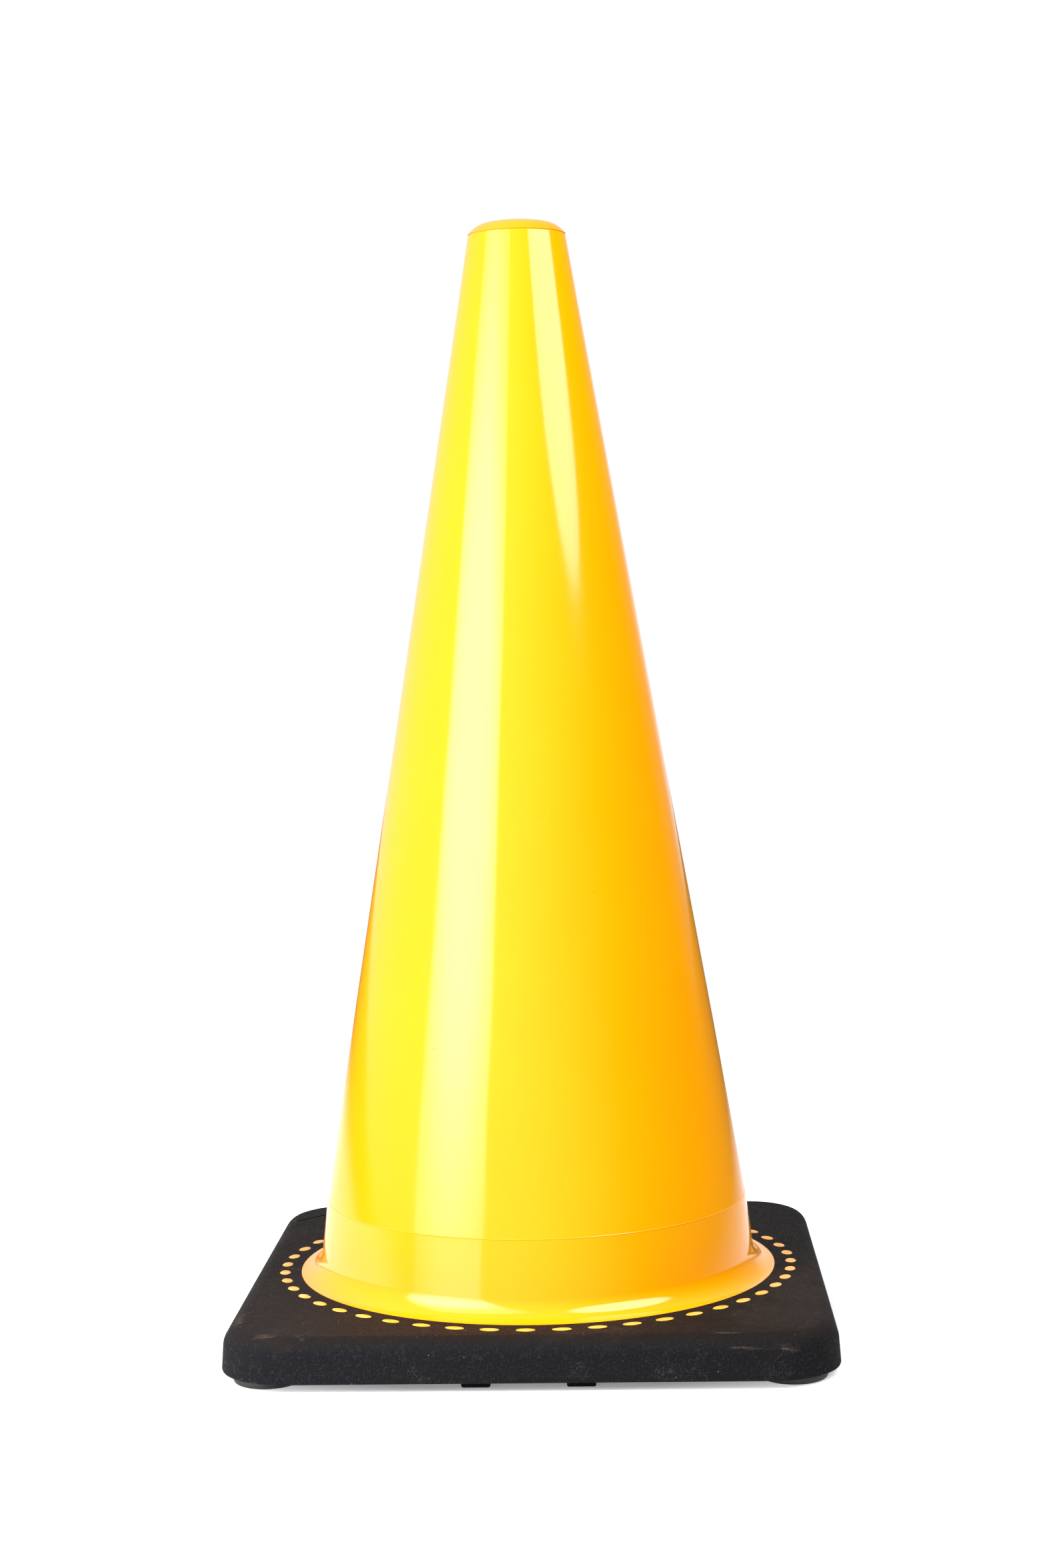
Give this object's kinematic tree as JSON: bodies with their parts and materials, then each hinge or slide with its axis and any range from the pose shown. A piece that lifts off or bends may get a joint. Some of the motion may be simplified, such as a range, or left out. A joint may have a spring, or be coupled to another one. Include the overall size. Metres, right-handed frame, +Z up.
{
  "type": "safety cone",
  "caption": "Tall glossy yellow safety cone with an open domed lip, its flange and studs locked into a heavy square black base on low feet.",
  "frame": {"origin": "on the floor at the centre of the square footprint", "axes": "+Z up along the cone's axis; the base's sides run along X and Y; -Y is the front"},
  "size_m": [0.3756, 0.3756, 0.711],
  "materials": {
    "cone_yellow": "glossy yellow flexible PVC",
    "base_black": "matte black recycled PVC, grained walls, dusty top",
    "foot_black": "smooth black rubber"
  },
  "bodies": {
    "root": {"cone_body": "cone_yellow", "base_pad": "base_black", "corner_foot_front_left": "foot_black", "corner_foot_front_right": "foot_black", "corner_foot_back_left": "foot_black", "corner_foot_back_right": "foot_black"}
  },
  "joints": []
}
